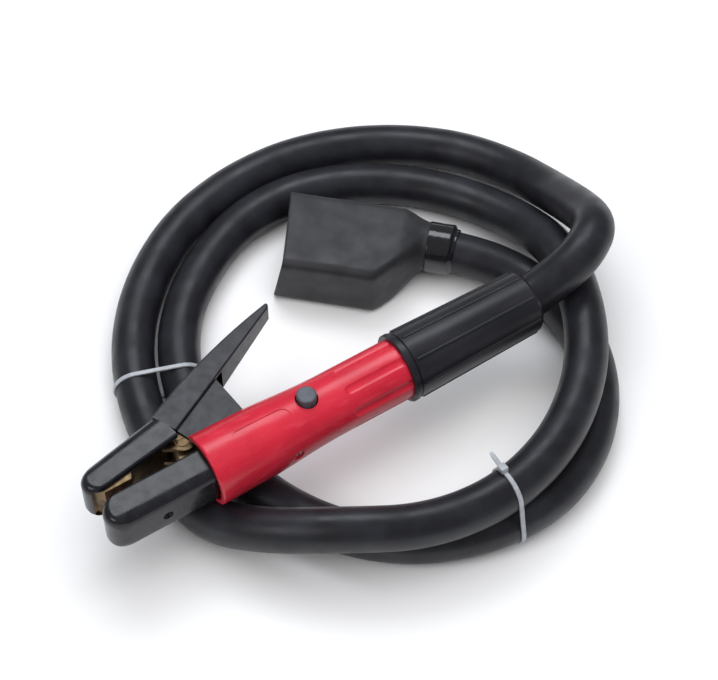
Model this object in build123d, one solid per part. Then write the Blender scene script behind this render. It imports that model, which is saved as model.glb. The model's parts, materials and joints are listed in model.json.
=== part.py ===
from build123d import *
import os
from math import cos, sin, tan, atan2, degrees, radians, pi, hypot

# Air carbon-arc gouging torch (a kind of electrode holder) with its power and air cable coiled under it.
# Millimetres. The origin is the middle of the electrode groove in the swivel head, +X runs along the torch
# from the jaws to the cable, +Y points to the lever side, +Z is up and is the jaw hinge's direction.
# The torch lies on its coiled cable, and the cable lies on a table at TABLE_Z.

# ---- driving dimensions ----
TABLE_Z = -50.0
AXIS_Y = -8.5            # the round handle's axis lies this far below the electrode groove
CABLE_R = 12.5           # 25 mm rubber power and air cable
ELECTRODE_R = 2.05       # groove for a 4 mm carbon

JAW_HALF = 14.0          # half height of both jaw insulators
JAW_WALL = 2.5
JAW_EDGE = 6.0           # rounding along the jaws' outer edges
JAW_RIM = 2.5            # rounding round the rest of a jaw insulator
CORE_HALF = 11.4         # half height of the room for an arm inside its insulator
ARM_HALF = 11.3

LOWER_INNER_Y = -2.2     # lower jaw insulator, from its open side, just clear of the electrode
LOWER_OUTER_Y = -22.0    # to its back
LOWER_NOSE_X = -6.0
LOWER_REAR_X = 46.0
ARM_TOP_Y = -8.0         # face of the lower arm that the swivel head turns on
INSULATOR_SCREW_X = 16.0
SCREW_SINK = 0.3         # screw heads sit this far inside their holes

UPPER_NOSE = (-8.4, 12.0)  # centre of the upper jaw's round nose
UPPER_NOSE_R = 8.5
UPPER_INNER_SLOPE = 9.0
UPPER_OUTER_SLOPE = 12.0
UPPER_REAR_INNER_X = 41.5
UPPER_REAR_OUTER_X = 34.5

PIVOT = (44.0, 10.5)     # jaw hinge, seen from above
PIN_R = 3.5
BUSH_R = 5.0
KNUCKLE_R = 7.0
LUG_HALF = 5.0
EAR_LOW = 5.2
EAR_HIGH = 8.0
PIN_END = 8.8            # the pin's head and clip end this far from the middle
RUN_GAP = 0.05           # radial running clearance

HEAD_R = 7.5
HEAD_FACE_Y = -0.45
STUD_R = 3.95

FRONT_X = 46.0           # red handle, from its open front
SPIGOT_X = 169.0         # to where the sleeve covers it
HANDLE_END_X = 181.0
HANDLE_PROFILE = [(FRONT_X, 20.7), (78, 20.2), (98, 19.0), (128, 17.8), (SPIGOT_X, 17.8)]
SPIGOT_R = 17.3
HANDLE_BORE_R = 17.4
HANDLE_BACK_BORE_R = 13.0
BORE_STEP_X = 85.0
SLOT_HALF = 11.0         # slot in the handle's lever side for the spring shield
SLOT_END_X = 85.0
FLUTES = 8
FLUTE_X = 134.0
FLUTE_R = 5.0
FLUTE_DEPTH = 1.1
PANEL_TURN = 10.0        # the panel beside the top sits this far round towards -Y

BUTTON_X = 110.5
BUTTON_R = 5.6
BUTTON_TOP_Z = 22.4
BUTTON_HOLE_R = 6.4
CUP_LOW_Z = 13.5
CUP_ROOF_Z = 19.5
GUIDE_Z = (3.0, 9.0)
VALVE_BORE_R = 3.4
VALVE_BORE_LOW_Z = -11.0
STEM_R = 2.0
STEM_LOW_Z = -6.0

VALVE_X = (89.0, 160.0)
VALVE_R = 12.9
AIR_R = 2.0
NIPPLE_R = 6.0
NUT_X = (160.0, 172.0)
FERRULE_R = 10.5

SLEEVE_X = (SPIGOT_X, 257.0)
SLEEVE_R = (20.0, 18.3)
COLLAR_R = 20.5
BEAD_TURN = 31.0         # first bead of the sleeve, round from the top towards -Y
CABLE_START_X = 233.0

BOOT_NECK = (255.0, 63.5, -31.0)   # end of the boot's neck; the boot lies on the table inside the coil
BOOT_HEIGHT = 38.0
BOOT_WALL = 2.5
NECK_R = 14.6
NECK_LENGTH = 16.0
TAPE_R = 15.3

# ---- cable route, chosen by hand: out of the sleeve, round the coil, under the torch, into the boot ----
ROUTE = [
    (CABLE_START_X, AXIS_Y, 0), (255, AXIS_Y, 0), (271, -9, 6.5), (285.5, -10, 14.5),
    (298.5, -6.5, 18.5), (310, 1.5, 18), (317.5, 14.5, 10.5), (321.5, 35, -2), (325, 62, -18.5),
    (322.5, 98, -32.5), (303, 134, -37.4), (264, 164, -37.4), (219, 181, -37.4), (175, 183, -37.4),
    (131, 172, -37.4), (94, 148, -37.4), (65, 115, -36.5), (47, 76, -36), (39, 33, -35),
    (38, -12, -37.2), (56, -45, -20), (90, -74, -8.5), (132, -97, -10.8), (178, -103, -10.6),
    (222, -91, -10.8), (260, -64, -11.2), (286, -28, -11.4), (301, 14, -12.5), (304, 58, -31),
    (286, 101, -37.4), (253, 134, -37.4), (211, 155.3, -37.4), (167, 156.5, -37.4), (126, 138, -37.4),
    (92, 108, -36.5), (72, 68, -36), (67, 26, -35), (74, -17, -37.4), (94, -57, -37.4),
    (127, -89, -37.2), (168, -106, -35.8), (212, -107, -36.2), (252, -87, -37.4), (280, -53, -37.4),
    (291, -12, -37.4), (284, 26, -36.5), (262.5, 56, -31), (235.2, 83.3, -31),
]
# The tube is cut into lengths in the middle of these runs, counted from the sleeve.
CABLE_CUTS = [7, 13, 18, 22, 27, 32, 37, 42]

os.makedirs("parts", exist_ok=True)


def save(name, shape):
    """Writes one node; several loose solids go into one compound."""
    solids = shape.solids()
    body = solids[0] if len(solids) == 1 else Compound(children=list(solids))
    body.label = name
    export_step(body, f"parts/{name}.step")


# ---- small helpers ----
def lift(face, low, high):
    """A flat face drawn at Z = 0, extruded from low to high."""
    return extrude(Pos(0, 0, low) * face, high - low, dir=(0, 0, 1))


def plate(points, low, high):
    """A flat outline in X and Y, extruded from low to high."""
    return lift(Polygon(*points, align=None), low, high)


def bar_x(x0, x1, r, y=AXIS_Y, z=0.0):
    return Pos((x0 + x1) / 2, y, z) * Rot(0, 90, 0) * Cylinder(r, x1 - x0)


def bar_y(y0, y1, r, x=0.0, z=0.0):
    return Pos(x, (y0 + y1) / 2, z) * Rot(90, 0, 0) * Cylinder(r, y1 - y0)


def bar_z(z0, z1, r, x=0.0, y=0.0):
    return Pos(x, y, (z0 + z1) / 2) * Cylinder(r, z1 - z0)


def spring(z0, z1, coil_r, wire_r, turns):
    """A round-wire compression spring standing on z0."""
    height = z1 - z0 - 2 * wire_r
    path = Helix(pitch=height / turns, height=height, radius=coil_r)
    section = Plane(origin=path @ 0, z_dir=path % 0) * Circle(wire_r)
    return Pos(0, 0, z0 + wire_r) * sweep(section, path=path, is_frenet=True)


def side_edges(solid, half):
    """Edges round the top and bottom faces at plus and minus half."""
    return [e for e in solid.edges() if abs(abs(e.center().Z) - half) < 1e-3]


# ---- lower jaw ----
def lower_outline(gap):
    """Stadium-nosed outline of the lower jaw insulator, moved inwards by gap."""
    mid_y = (LOWER_INNER_Y + LOWER_OUTER_Y) / 2
    r = (LOWER_INNER_Y - LOWER_OUTER_Y) / 2 - gap
    top = (LOWER_NOSE_X, mid_y + r)
    low = (LOWER_NOSE_X, mid_y - r)
    return make_face([
        Line((LOWER_REAR_X, top[1]), top),
        ThreePointArc(top, (LOWER_NOSE_X - r, mid_y), low),
        Line(low, (LOWER_REAR_X, low[1])),
        Line((LOWER_REAR_X, low[1]), (LOWER_REAR_X, top[1])),
    ])


def lower_core(gap, top_y, half):
    """Room for the lower arm: rounded at its outer nose corner, open towards +Y."""
    x0 = LOWER_NOSE_X - 8.2 + gap
    y0 = LOWER_OUTER_Y + JAW_WALL + gap
    block = plate([(x0, y0), (LOWER_REAR_X, y0), (LOWER_REAR_X, top_y), (x0, top_y)], -half, half)
    corner = [e for e in block.edges().filter_by(Axis.Z) if e.center().X < x0 + 1 and e.center().Y < y0 + 1]
    return fillet(corner, 6.5)


def lower_jaw_insulator():
    shell = lift(lower_outline(0), -JAW_HALF, JAW_HALF)
    rim = [e for e in side_edges(shell, JAW_HALF) if e.center().X < LOWER_REAR_X - 1]
    shell = fillet(rim, JAW_RIM)
    section = Plane.YZ.offset(-40) * Pos(LOWER_OUTER_Y + 30, 0) * RectangleRounded(60, 2 * JAW_HALF, JAW_EDGE)
    shell = shell & extrude(section, 120)
    shell = shell - lower_core(0, 10, CORE_HALF)
    screw_hole = bar_y(LOWER_OUTER_Y - 5, LOWER_OUTER_Y + 5, 3.0, x=INSULATOR_SCREW_X)
    return shell - screw_hole


def lower_arm_body():
    """Brass casting: jaw arm, hinge lug, tail through the handle's front and the flange behind it."""
    arm = lower_core(0.1, ARM_TOP_Y, ARM_HALF)
    lug = plate([(33, ARM_TOP_Y - 2), (38.5, 8), (50, 8), (53, ARM_TOP_Y - 2)], -LUG_HALF, LUG_HALF)
    lug += bar_z(-LUG_HALF, LUG_HALF, KNUCKLE_R, *PIVOT)
    tail = plate([(40, -19.5), (BORE_STEP_X, -19.5), (BORE_STEP_X, ARM_TOP_Y), (40, ARM_TOP_Y)], -9, 9)
    flange = bar_x(BORE_STEP_X, VALVE_X[0], VALVE_R)
    body = arm + lug + tail + flange
    body -= bar_z(-20, 20, PIN_R, *PIVOT)
    body -= bar_y(-25, 0, STUD_R + RUN_GAP)
    body -= bar_y(-25, -15, 6.2)
    body -= bar_x(4.5, VALVE_X[0] + 1, AIR_R, y=-11.6)
    body -= bar_y(-25, -15.5, 1.5, x=INSULATOR_SCREW_X)
    return body


def insulator_screw(x, y, angle):
    """Cheese-head screw; its head's outer face is at y before it is turned about Z by angle."""
    head = bar_y(0, 2.2, 2.8) - Box(0.8, 1.6, 6)
    return Pos(x, y, 0) * Rot(0, 0, angle) * (head + bar_y(2.2, 6.0, 1.5))


# ---- swivel head ----
def swivel_head():
    """Copper disc with the electrode groove across it, on a stud through the lower arm."""
    disc = bar_y(ARM_TOP_Y + 0.1, HEAD_FACE_Y, HEAD_R)
    disc = chamfer([e for e in disc.edges() if abs(e.center().Y - HEAD_FACE_Y) < 0.01], 0.6)
    head = disc + bar_y(-15.2, ARM_TOP_Y + 0.2, STUD_R)
    head -= bar_z(-20, 20, ELECTRODE_R)
    for z in (-3.2, 0.0, 3.2):
        head -= bar_y(-12, 2, 0.8, x=4.6, z=z)
    return head - bar_y(-16, -11, 2.0)


def head_washer():
    return bar_y(-16.2, -15.2, 5.6) - bar_y(-17, -14, 2.05)


def head_screw():
    return bar_y(-18.4, -16.2, 3.6) + bar_y(-16.2, -11, 2.0) - Pos(0, -18.4, 0) * Box(9, 1.4, 1.0)


# ---- upper jaw ----
def upper_tangent(slope, side, gap):
    """Point where a jaw edge leaves the round nose; side is -1 for the inner edge and 1 for the outer."""
    r = UPPER_NOSE_R - gap
    a = radians(slope)
    return UPPER_NOSE[0] - side * r * sin(a), UPPER_NOSE[1] + side * r * cos(a)


def upper_edge_y(x, slope, side, gap=0.0):
    px, py = upper_tangent(slope, side, gap)
    return py + (x - px) * tan(radians(slope))


def upper_jaw_insulator():
    inner = upper_tangent(UPPER_INNER_SLOPE, -1, 0)
    outer = upper_tangent(UPPER_OUTER_SLOPE, 1, 0)
    rear_in = (UPPER_REAR_INNER_X, upper_edge_y(UPPER_REAR_INNER_X, UPPER_INNER_SLOPE, -1))
    rear_out = (UPPER_REAR_OUTER_X, upper_edge_y(UPPER_REAR_OUTER_X, UPPER_OUTER_SLOPE, 1))
    nose = (UPPER_NOSE[0] - UPPER_NOSE_R, UPPER_NOSE[1])
    outline = make_face([
        Line(rear_in, inner),
        ThreePointArc(inner, nose, outer),
        Line(outer, rear_out),
        ThreePointArc(rear_out, (UPPER_REAR_INNER_X - 2.0, 21), rear_in),
    ])
    shell = lift(outline, -JAW_HALF, JAW_HALF)
    rim = [e for e in side_edges(shell, JAW_HALF) if e.center().X < UPPER_REAR_OUTER_X - 1]
    shell = fillet(rim, JAW_RIM)
    section = Plane.YZ.offset(-60) * Pos(-30, 0) * RectangleRounded(60, 2 * JAW_HALF, JAW_EDGE)
    along = Pos(outer[0], outer[1], 0) * Rot(0, 0, UPPER_OUTER_SLOPE) * extrude(section, 160)
    shell = shell & along
    shell -= plate(upper_core(0, -30), -CORE_HALF, CORE_HALF)
    return shell - Pos(*upper_screw_place(0)) * Rot(0, 0, UPPER_OUTER_SLOPE) * bar_y(-5, 5, 3.0)


def upper_core(gap, low_y):
    """Outline of the room for the upper arm, closed at the back and nose and open towards -Y."""
    off = JAW_WALL + gap
    x0 = UPPER_NOSE[0] - UPPER_NOSE_R + off
    outer = upper_tangent(UPPER_OUTER_SLOPE, 1, off)
    rear = UPPER_REAR_INNER_X + 5
    return [(x0, low_y), (x0, UPPER_NOSE[1] + 1.5), (x0 + 1.8, outer[1] - 1.6), (outer[0], outer[1]),
            (rear, upper_edge_y(rear, UPPER_OUTER_SLOPE, 1, off)), (rear, low_y)]


def upper_screw_place(depth):
    """Where the upper insulator's screw is, this far under the insulator's outer face."""
    slope = radians(UPPER_OUTER_SLOPE)
    y = upper_edge_y(INSULATOR_SCREW_X, UPPER_OUTER_SLOPE, 1)
    return INSULATOR_SCREW_X + depth * sin(slope), y - depth * cos(slope), 0


def upper_arm():
    """Brass arm with the contact pad, the two hinge ears and the bar that carries the lever."""
    room = plate(upper_core(0.1, -30), -ARM_HALF, ARM_HALF)
    pad_y = ELECTRODE_R
    reach = plate([(-8, pad_y), (8, pad_y), (10.5, 7.5), (34, 11.6), (34, 40), (-20, 40), (-20, 6), (-12, 6)], -20, 20)
    arm = room & reach
    bar = plate([(30, 18.6), (50, 18.6), (59.5, 25.5), (72.5, 25.5), (75.5, 33.2), (75.5, 50), (30, 50)], -6.4, 6.4)
    arm += bar & lift(lever_channel(), -30, 30)
    for side in (-1, 1):
        low, high = sorted((side * EAR_LOW, side * EAR_HIGH))
        ear = plate([(30, 12), (44, 3.5), (51, 10.5), (50, 20), (30, 25)], low, high)
        ear -= plate([(20, 0), (44, 0), (44, 3.5), (36, 6.5), (20, 11.5)], low - 1, high + 1)
        arm += ear + bar_z(low, high, KNUCKLE_R, *PIVOT)
    arm -= bar_z(-20, 20, BUSH_R, *PIVOT)
    arm -= Pos(*upper_screw_place(0)) * Rot(0, 0, UPPER_OUTER_SLOPE) * bar_y(-7, 2, 1.5)
    return arm


def pivot_bushes():
    ring = bar_z(EAR_LOW, EAR_HIGH, BUSH_R, *PIVOT) - bar_z(0, 20, PIN_R + RUN_GAP, *PIVOT)
    return ring + mirror(ring, Plane.XY)


def pivot_pin():
    """Pin through both ears and the lug, head up, slotted for a screwdriver."""
    pin = bar_z(-PIN_END, EAR_HIGH + 0.1, PIN_R, *PIVOT)
    head = bar_z(EAR_HIGH + 0.1, PIN_END, 4.6, *PIVOT)
    return pin + head - Pos(PIVOT[0], PIVOT[1], PIN_END) * Box(7, 0.9, 0.6)


def pivot_clip():
    """Retaining ring on the pin's lower end."""
    return bar_z(-PIN_END, -EAR_HIGH - 0.1, 5.2, *PIVOT) - bar_z(-12, -5, PIN_R, *PIVOT)


# ---- lever ----
LEVER_OUTER = [(35.4, 29.4), (90, 54.0), (130.5, 66.6)]    # start, middle and tip of the outer side
LEVER_INNER = [(128.5, 62.6), (80, 35.8), (42.8, 15.4)]  # and back along the open side
LEVER_FLOOR = [(30, 25.0), (60, 37.2), (84, 46.0)]        # bottom of the channel between its two sides
LEVER_WALL = 1.9
LEVER_HALF = (13.4, 5.6)   # half height at the jaw and at the tip
LEVER_X = (35.0, 132.0)
SHIELD_HALF = 10.3
SHIELD_WALL = 1.3


def lever_taper(inset, y0, y1):
    """Wedge that narrows the lever's height from jaw to tip."""
    a, b = LEVER_HALF[0] - inset, LEVER_HALF[1] - inset
    face = Plane.XZ.offset(-y1) * Polygon(
        (LEVER_X[0] - 5, -a), (LEVER_X[1] + 5, -b), (LEVER_X[1] + 5, b), (LEVER_X[0] - 5, a), align=None)
    return extrude(face, y1 - y0, dir=(0, -1, 0))


def lever_channel():
    """Outline of the room between the lever's two sides, from its curved floor down."""
    start, end = LEVER_FLOOR[0], LEVER_FLOOR[-1]
    return make_face([
        ThreePointArc(*LEVER_FLOOR),
        Line(end, (end[0], 0)),
        Line((end[0], 0), (start[0], 0)),
        Line((start[0], 0), start),
    ])


def lever():
    """Moulding fixed on the upper arm's bar: a channel over the bar and spring, then a closed grip."""
    outline = make_face([
        ThreePointArc(*LEVER_OUTER),
        Line(LEVER_OUTER[-1], LEVER_INNER[0]),
        ThreePointArc(*LEVER_INNER),
        Line(LEVER_INNER[-1], LEVER_OUTER[0]),
    ])
    solid = lift(outline, -30, 30)
    tip = [e for e in solid.edges().filter_by(Axis.Z) if e.center().X > 124]
    solid = fillet(tip, 1.2)
    solid = solid & lever_taper(0, -10, 90)
    top = [e for e in solid.edges() if abs(e.center().Z) > 5 and e.center().X > 42.5]
    solid = fillet(top, 1.0)
    return solid - (lift(lever_channel(), -30, 30) & lever_taper(LEVER_WALL, -10, 90))


def spring_shield():
    """Box skirt under the lever that hides the jaw spring and slides into the handle's slot."""
    outline = [(46.3, 8.6), (81.3, 8), (78.2, 39.2), (43.6, 24.6), (43.6, 15.0)]
    block = plate(outline, -SHIELD_HALF, SHIELD_HALF) & lever_taper(LEVER_WALL + 0.15, -10, 90)
    room = plate([(40, 0), (79.8, 0), (79.8, 8), (76.7, 45), (40, 45)], -30, 30)
    room &= lever_taper(LEVER_WALL + SHIELD_WALL, -10, 90)
    return block - (room & Box(400, 400, 2 * (SHIELD_HALF - SHIELD_WALL)))


def jaw_spring():
    coil = spring(ARM_TOP_Y, 25.4, 5.0, 0.8, 7)
    return Pos(66, 0, 0) * Rot(-90, 0, 0) * coil


# ---- handle ----
def handle_turned(cut):
    """The handle's outside as a turned solid, less cut all round."""
    pts = [(x, r - cut) for x, r in HANDLE_PROFILE]
    face = make_face([
        Line((pts[0][0], 0), pts[0]),
        Line(pts[0], pts[1]),
        Spline(pts[1], pts[2], pts[3], tangents=[(1, -0.02), (1, 0)]),
        Line(pts[3], pts[4]),
        Line(pts[4], (SPIGOT_X, 0)),
        Line((SPIGOT_X, 0), (pts[0][0], 0)),
    ])
    return Pos(0, AXIS_Y, 0) * revolve(face, Axis.X)


def handle():
    body = handle_turned(0)
    front = [e for e in body.edges() if abs(e.center().X - FRONT_X) < 0.01]
    body = fillet(front, 1.2)
    body += bar_x(SPIGOT_X - 1, HANDLE_END_X, SPIGOT_R)
    body -= bar_x(FRONT_X - 5, BORE_STEP_X, HANDLE_BORE_R)
    body -= bar_x(BORE_STEP_X - 1, HANDLE_END_X + 5, HANDLE_BACK_BORE_R)
    slot = Pos((FRONT_X - 5 + SLOT_END_X) / 2, 20, 0) * Box(SLOT_END_X - FRONT_X + 5, 40, 2 * SLOT_HALF)
    body -= slot
    panel = Pos(80.5, AXIS_Y, 0) * Rot(PANEL_TURN, 0, 0) * extrude(SlotOverall(35, 9.5), 40)
    body -= panel & (handle_turned(-2) - handle_turned(0.45))
    body -= bar_z(0, 30, BUTTON_HOLE_R, BUTTON_X, AXIS_Y)
    body -= Pos(94, AXIS_Y, 0) * bar_y(-30, -8, 1.7)
    body -= Pos(94, AXIS_Y, 0) * bar_y(-30, -15.2, 3.1)
    for i in range(FLUTES):
        angle = 360 / FLUTES * (i + 0.5)
        cutter = Pos(FLUTE_X, 0, 0) * Sphere(FLUTE_R) + bar_x(FLUTE_X, SPIGOT_X, FLUTE_R, y=0)
        flute = Pos(0, 0, HANDLE_PROFILE[-1][1] + FLUTE_R - FLUTE_DEPTH) * cutter
        body -= Pos(0, AXIS_Y, 0) * Rot(angle, 0, 0) * flute
    return body


def handle_screw():
    y = AXIS_Y - 18.0
    head = bar_y(y, AXIS_Y - 15.2, 3.0, x=94) - Pos(94, y, 0) * Box(0.8, 2.0, 7)
    return head + bar_y(AXIS_Y - 15.2, AXIS_Y - 7, 1.6, x=94)


# ---- air valve ----
def valve_body():
    body = bar_x(*VALVE_X, VALVE_R) + bar_x(VALVE_X[1], 190, NIPPLE_R)
    body -= bar_x(VALVE_X[0] - 1, 191, 2.5)
    body -= bar_z(VALVE_BORE_LOW_Z, 20, VALVE_BORE_R, BUTTON_X, AXIS_Y)
    body -= bar_z(GUIDE_Z[0], 20, 5.0, BUTTON_X, AXIS_Y)
    body -= bar_z(GUIDE_Z[1], 20, 6.2, BUTTON_X, AXIS_Y)
    return body - bar_y(AXIS_Y - 20, AXIS_Y - 7, 1.6, x=94)


def valve_guide():
    return bar_z(*GUIDE_Z, 5.0, BUTTON_X, AXIS_Y) - bar_z(0, 20, STEM_R + RUN_GAP, BUTTON_X, AXIS_Y)


def stem_seal():
    return Pos(BUTTON_X, AXIS_Y, 1.6) * Torus(2.75, 0.6)


def valve_button():
    button = bar_z(CUP_LOW_Z, BUTTON_TOP_Z, BUTTON_R, BUTTON_X, AXIS_Y)
    rim = [e for e in button.edges() if abs(e.center().Z - BUTTON_TOP_Z) < 0.01]
    button = fillet(rim, 1.1)
    return button - bar_z(CUP_LOW_Z - 1, CUP_ROOF_Z, 4.9, BUTTON_X, AXIS_Y)


def valve_stem():
    return bar_z(STEM_LOW_Z, CUP_ROOF_Z, STEM_R, BUTTON_X, AXIS_Y)


def valve_poppet():
    return bar_z(STEM_LOW_Z, STEM_LOW_Z + 1.6, 3.0, BUTTON_X, AXIS_Y) - bar_z(-9, 0, STEM_R, BUTTON_X, AXIS_Y)


def valve_spring():
    return Pos(BUTTON_X, AXIS_Y, 0) * spring(GUIDE_Z[1], CUP_ROOF_Z, 3.6, 0.4, 6)


# ---- cable end in the torch, and the sleeve over it ----
def coupling_nut():
    hexagon = extrude(Plane.YZ.offset(NUT_X[0]) * RegularPolygon(12.6, 6), NUT_X[1] - NUT_X[0])
    return Pos(0, AXIS_Y, 0) * hexagon - bar_x(NUT_X[0] - 1, NUT_X[1] + 1, NIPPLE_R)


def cable_ferrule():
    tube = bar_x(NUT_X[1], CABLE_START_X, FERRULE_R)
    for x in (200, 208, 216):
        tube -= bar_x(x, x + 3, FERRULE_R + 1) - bar_x(x, x + 3, FERRULE_R - 0.6)
    tube -= bar_x(NUT_X[1] - 1, 190, NIPPLE_R)
    return tube - bar_x(189, CABLE_START_X + 1, 4.0)


def cable_sleeve():
    x0, x1 = SLEEVE_X
    profile = [(x0, COLLAR_R - 0.6), (x0 + 0.6, COLLAR_R), (x0 + 3.0, COLLAR_R), (x0 + 3.5, SLEEVE_R[0] - 0.8),
               (x0 + 4.5, SLEEVE_R[0] - 0.8), (x0 + 5.1, SLEEVE_R[0]), (x1 - 2, SLEEVE_R[1]), (x1, SLEEVE_R[1] - 1.6)]
    face = Polygon(*[(x, r) for x, r in profile], (x1, 0), (x0, 0), align=None)
    body = Pos(0, AXIS_Y, 0) * revolve(face, Axis.X)
    taper = degrees(atan2(SLEEVE_R[0] - SLEEVE_R[1], x1 - x0 - 9.8))
    for i in range(8):
        bead = Pos(x0 + 6.5, 0, SLEEVE_R[0] - 0.35) * Rot(0, taper, 0) * bar_x(0, x1 - x0 - 9.5, 1.05, y=0)
        body += Pos(0, AXIS_Y, 0) * Rot(BEAD_TURN + 45 * i, 0, 0) * bead
    body -= bar_x(x0 - 1, HANDLE_END_X, SPIGOT_R + 0.02)
    return body - bar_x(HANDLE_END_X - 1, x1 + 1, CABLE_R + 0.05)


# ---- cable ----
def route_radii(points):
    """For each inner point, the arc radius that its shorter run allows."""
    radii = []
    for before, here, after in zip(points, points[1:], points[2:]):
        a = Vector(*here) - Vector(*before)
        b = Vector(*after) - Vector(*here)
        radii.append(0.45 * min(a.length, b.length) / tan(radians(a.get_angle(b)) / 2))
    return radii


def cable_lengths():
    """The tube in lengths that meet face to face in the middle of a straight run."""
    radii = route_radii(ROUTE)
    middles = {cut: tuple((Vector(*ROUTE[cut]) + Vector(*ROUTE[cut + 1])) * 0.5) for cut in CABLE_CUTS}
    starts = [None] + CABLE_CUTS
    ends = CABLE_CUTS + [None]
    total = 0
    for number, (start, end) in enumerate(zip(starts, ends), 1):
        first = 1 if start is None else start + 1
        last = len(ROUTE) - 2 if end is None else end
        head = ROUTE[0] if start is None else middles[start]
        tail = ROUTE[-1] if end is None else middles[end]
        path = FilletPolyline(head, *ROUTE[first:last + 1], tail, radius=radii[first - 1:last])
        tube = sweep(Plane(origin=path @ 0, z_dir=path % 0) * Circle(CABLE_R), path=path)
        expected = pi * CABLE_R ** 2 * path.length
        print(f"cable_{number} length {path.length:.0f} volume/expected {tube.volume / expected:.4f}")
        total += path.length
        save(f"cable_{number}", tube)
    print("cable length", round(total), "arc radii", [round(r) for r in radii])


# ---- cable ties ----
TIE_WIDTH = 2.6
TIE_THICK = 1.1
TIES = {
    # first cable centre, second cable centre and the cable's direction there, in plan degrees
    "tie_left": ((49.8, 81.0, -35.9), (74.8, 72.1, -35.9), 67.5),
    "tie_right": ((178.5, -100.9, -10.6), (179.9, -106.0, -35.9), 0.0),
}


def cable_tie(first, second, heading):
    """A strap round two cables that lie side by side, with its square locking head."""
    a, b = Vector(*first), Vector(*second)
    normal = Vector(cos(radians(heading)), sin(radians(heading)), 0)
    across = (b - a).normalized()
    across = (across - normal * across.dot(normal)).normalized()
    plane = Plane(origin=(a + b) * 0.5 - normal * (TIE_WIDTH / 2), x_dir=across, z_dir=normal)
    span = (b - a).length
    r = CABLE_R + 0.35
    outer = SlotOverall(span + 2 * (r + TIE_THICK), 2 * (r + TIE_THICK))
    inner = SlotOverall(span + 2 * r, 2 * r)
    strap = extrude(plane * (outer - inner), TIE_WIDTH)
    return strap, plane, span, r


def tie_left():
    strap, plane, span, r = cable_tie(*TIES["tie_left"])
    head = plane * Pos(span / 2 + r + TIE_THICK + 1.6, 0, TIE_WIDTH / 2) * Box(3.4, 5.2, 4.6)
    return strap + head


def tie_right():
    strap, plane, span, r = cable_tie(*TIES["tie_right"])
    head = plane * Pos(-span / 2 - r - TIE_THICK - 1.4, 3.0, TIE_WIDTH / 2) * Box(3.6, 5.2, 4.6)
    tail = plane * Pos(-span / 2 - r - TIE_THICK - 2.6, 10.5, TIE_WIDTH / 2) * Box(TIE_THICK, 15, TIE_WIDTH)
    return strap + head + tail


# ---- boot and connector ----
BOOT = Plane(origin=BOOT_NECK, x_dir=(1, -1, 0), z_dir=(0, 0, 1))  # x runs out along the cable, y to the far side
BOOT_FAR_Y = (13.5, 11.5)      # at the shoulder and at the mouth
BOOT_NEAR_Y = (-43.0, -45.0)   # at the corner and at the mouth
BOOT_SHOULDER_X = -NECK_LENGTH + 1
BOOT_CORNER_X = -38.5
BOOT_MOUTH_X = -99.5           # at the table; the mouth's top edge stands further in
BOOT_MOUTH_SLANT = 7.5


def boot_block(inset):
    """The boot's box with its slanted near corner, drawn in by inset all round."""
    half = BOOT_HEIGHT / 2 - inset
    outline = [(BOOT_MOUTH_X - 10, BOOT_FAR_Y[1] - inset), (BOOT_SHOULDER_X - 8 - inset, BOOT_FAR_Y[0] - inset),
               (BOOT_SHOULDER_X - inset, BOOT_FAR_Y[0] - 7), (BOOT_SHOULDER_X - inset, -NECK_R + inset),
               (BOOT_CORNER_X - inset * 0.6, BOOT_NEAR_Y[0] + inset), (BOOT_MOUTH_X - 10, BOOT_NEAR_Y[1] + inset)]
    block = plate(outline, -half, half)
    bends = [e for e in block.edges().filter_by(Axis.Z) if BOOT_MOUTH_X < e.center().X < BOOT_SHOULDER_X - inset - 2]
    block = fillet(bends, 6.0)
    rim = [e for e in side_edges(block, half) if e.center().X > BOOT_MOUTH_X - 9]
    return fillet(rim, 6.0 - inset * 0.6)


def boot():
    shell = boot_block(0) + bar_x(BOOT_SHOULDER_X - 6, 0, NECK_R, y=0)
    shell -= boot_block(BOOT_WALL)
    shell -= bar_x(BOOT_SHOULDER_X - 12, 1, CABLE_R + 0.1, y=0)
    top_near = Vector(BOOT_MOUTH_X + BOOT_MOUTH_SLANT, BOOT_NEAR_Y[1], BOOT_HEIGHT / 2)
    low_near = Vector(BOOT_MOUTH_X, BOOT_NEAR_Y[1], -BOOT_HEIGHT / 2)
    top_far = Vector(BOOT_MOUTH_X - 1, BOOT_FAR_Y[1], BOOT_HEIGHT / 2)
    slant = Plane(origin=top_near, z_dir=(top_near - low_near).cross(top_far - top_near))
    shell -= slant * Pos(0, 0, 100) * Box(400, 400, 200)
    shell -= Pos(BOOT_MOUTH_X - 1 - 50, 0, 0) * Box(100, 200, 100)
    return BOOT * shell


def tape_wrap():
    """Two overlapping turns of tape over the neck's end and the cable."""
    ring = bar_x(-13.5, 0, TAPE_R, y=0) - bar_x(-20, 10, NECK_R + 0.02, y=0)
    step = bar_x(0, 4.5, CABLE_R + 1.2, y=0) - bar_x(-2, 10, CABLE_R + 0.35, y=0)
    link = bar_x(-0.8, 0.8, TAPE_R, y=0) - bar_x(-2, 0, NECK_R + 0.02, y=0) - bar_x(-2, 10, CABLE_R + 0.35, y=0)
    return BOOT * (ring + step + link)


CABLE_END_X = -28.0
SOCKET_X = (-74.0, -56.0)
SOCKET_R = 9.4
INLET_R = 5.7            # tapping size of the G1/4 air inlet
LUG_BOLT = (-63, -27)


def connector_ferrule():
    tube = bar_x(-52, CABLE_END_X, 9.8, y=0) - bar_x(-53, CABLE_END_X + 1, 7.0, y=0)
    for x in (-34, -40):
        tube -= bar_x(x - 2.5, x, 12, y=0) - bar_x(x - 2.5, x, 9.3, y=0)
    return BOOT * tube


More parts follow.
